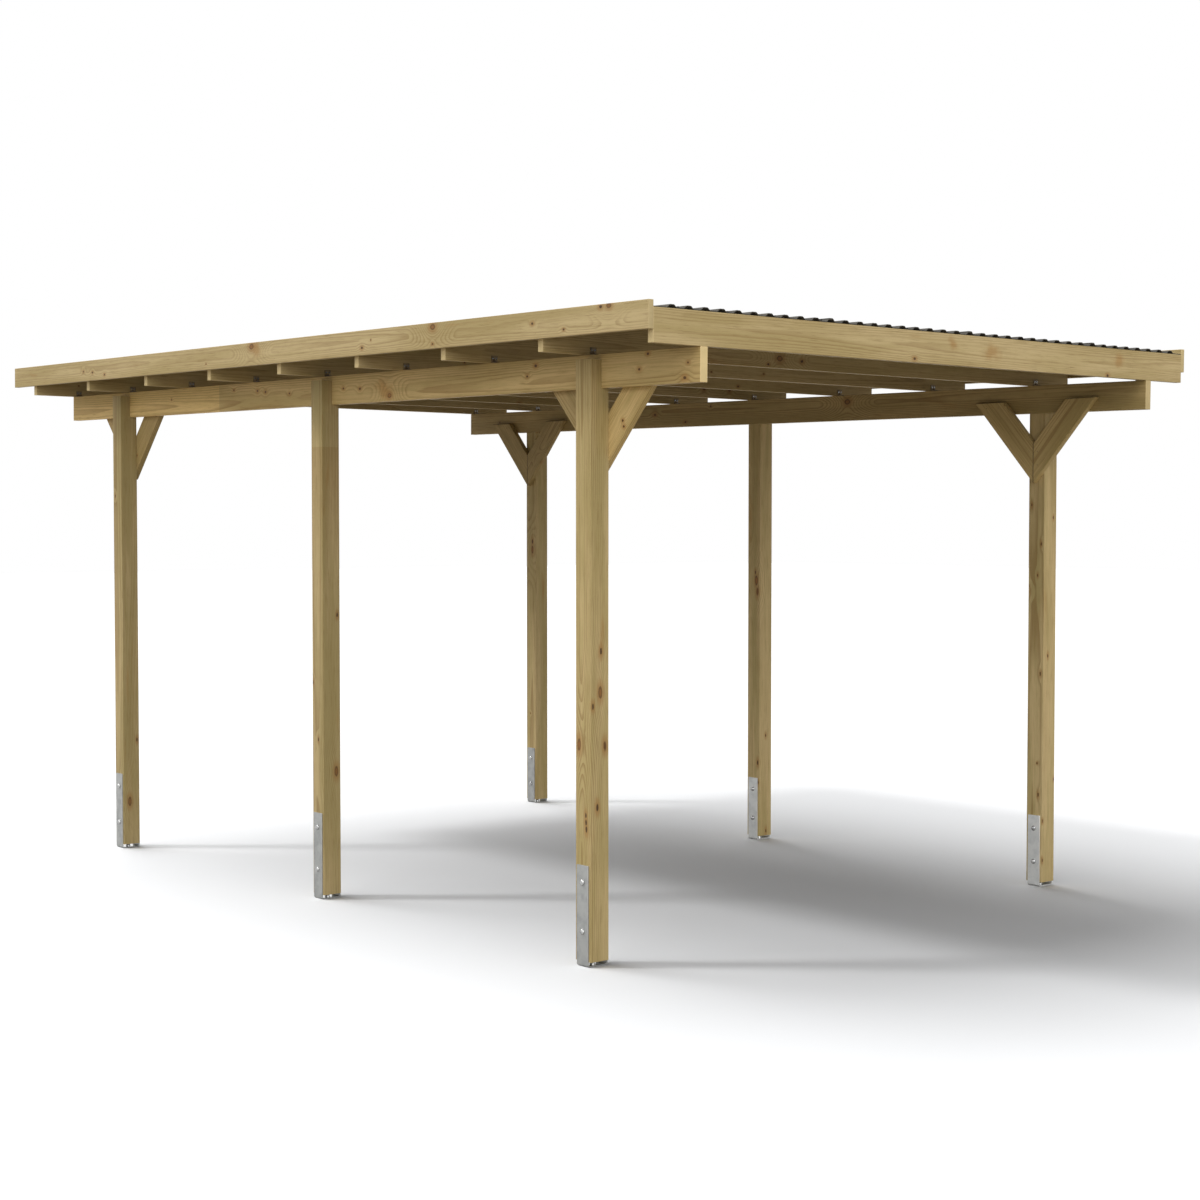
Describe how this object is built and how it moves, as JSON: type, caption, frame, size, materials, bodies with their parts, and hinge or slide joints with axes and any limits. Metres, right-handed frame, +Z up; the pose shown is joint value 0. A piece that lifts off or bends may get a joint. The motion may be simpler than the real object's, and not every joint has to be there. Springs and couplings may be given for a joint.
{
  "type": "timber carport",
  "caption": "Free-standing open timber carport with braced posts on steel ground anchors, long beams, rafters and a low-pitched corrugated roof.",
  "frame": {"origin": "ground level, at the centre of the bounding box seen from above", "axes": "+X across the drive to the right seen from the front, +Y from the front end to the back end, +Z up"},
  "size_m": [3.256, 5.2608, 2.5654],
  "materials": {
    "timber": "pressure-treated pine, planed",
    "anchor_steel": "galvanised",
    "bracket_steel": "dark coated",
    "roofing": "matt corrugated sheet"
  },
  "bodies": {
    "root": {"post_front_left": "timber", "post_middle_left": "timber", "post_back_left": "timber", "post_front_right": "timber", "post_middle_right": "timber", "post_back_right": "timber", "beam_left": "timber", "beam_right": "timber", "brace_front_left_fore": "timber", "brace_front_left_aft": "timber", "brace_back_left_fore": "timber", "brace_back_left_aft": "timber", "brace_front_right_fore": "timber", "brace_front_right_aft": "timber", "brace_back_right_fore": "timber", "brace_back_right_aft": "timber", "rafter_1": "timber", "rafter_2": "timber", "rafter_3": "timber", "rafter_4": "timber", "rafter_5": "timber", "rafter_6": "timber", "rafter_7": "timber", "rafter_8": "timber", "rafter_9": "timber", "fascia_left": "timber", "fascia_right": "timber", "anchor_front_left": "anchor_steel", "anchor_middle_left": "anchor_steel", "anchor_back_left": "anchor_steel", "anchor_front_right": "anchor_steel", "anchor_middle_right": "anchor_steel", "anchor_back_right": "anchor_steel", "brackets_left": "bracket_steel", "brackets_right": "bracket_steel", "roof_sheet_1": "roofing", "roof_sheet_2": "roofing", "roof_sheet_3": "roofing", "roof_sheet_4": "roofing"}
  },
  "joints": []
}
